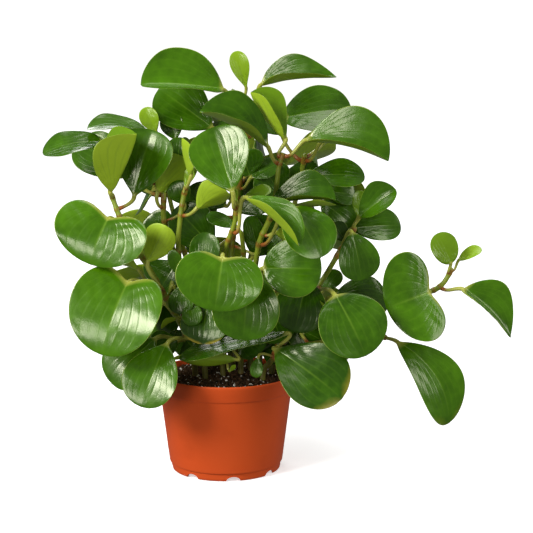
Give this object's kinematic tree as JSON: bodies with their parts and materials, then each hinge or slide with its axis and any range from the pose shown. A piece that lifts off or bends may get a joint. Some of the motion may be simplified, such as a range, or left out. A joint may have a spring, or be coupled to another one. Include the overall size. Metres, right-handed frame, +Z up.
{
  "type": "potted plant",
  "caption": "Bushy house plant with thick, glossy, rounded green leaves on fleshy stems, rooted in dark soil in a round tapered terracotta-coloured plastic nursery pot",
  "frame": {"origin": "centre of the pot's flat base, on the surface it stands on", "axes": "+Z up along the pot's axis, +X to the right towards the long trailing shoot, -Y the front"},
  "size_m": [0.3992, 0.2152, 0.3596],
  "materials": {
    "pot_plastic": "satin moulded plastic, terracotta colour",
    "soil": null,
    "stem": null,
    "leaf": null,
    "young_leaf": null
  },
  "bodies": {
    "root": {"pot": "pot_plastic", "soil": "soil", "stem_left_front": "stem", "stem_left_back": "stem", "stem_left_inner": "stem", "stem_front": "stem", "stem_front_short": "stem", "stem_middle": "stem", "stem_right_back": "stem", "stem_right": "stem", "stem_trailing": "stem", "stem_right_low": "stem", "stem_tall": "stem", "stem_back_left": "stem", "stem_back": "stem", "leaf_top_left": "leaf", "leaf_top_left_under": "leaf", "leaf_top_centre": "leaf", "leaf_top_glossy": "leaf", "leaf_top_young": "young_leaf", "leaf_top_right": "leaf", "leaf_top_right_behind": "leaf", "leaf_top_folded": "leaf", "leaf_crown_right": "leaf", "leaf_crown_right_under": "leaf", "leaf_inner_right": "leaf", "leaf_right_dull": "leaf", "leaf_front_folded": "leaf", "leaf_front_facing": "leaf", "leaf_front_heart": "leaf", "leaf_front_mid": "leaf", "leaf_front_right": "leaf", "leaf_front_dark": "leaf", "leaf_right_bright": "leaf", "leaf_low_right": "leaf", "leaf_over_soil": "leaf", "leaf_front_low_dark": "leaf", "leaf_left_big": "leaf", "leaf_far_left": "leaf", "leaf_upper_left": "leaf", "leaf_left_underside": "leaf", "leaf_left_upright": "leaf", "leaf_left_heart": "leaf", "leaf_low_left": "leaf", "leaf_low_front_left": "leaf", "leaf_right_crown_edge": "leaf", "leaf_right_mid": "leaf", "leaf_right_hanging": "leaf", "leaf_far_right_kidney": "leaf", "leaf_far_right_low": "leaf", "leaf_far_right_upper": "leaf", "leaf_far_right_tip": "leaf", "leaf_back_left_high": "leaf", "leaf_back_left_mid": "leaf", "leaf_back_left_low": "leaf", "leaf_back_high": "leaf", "leaf_back_right_high": "leaf", "leaf_back_right_mid": "leaf", "leaf_back_low": "leaf", "leaf_back_right_low": "leaf"}
  },
  "joints": []
}
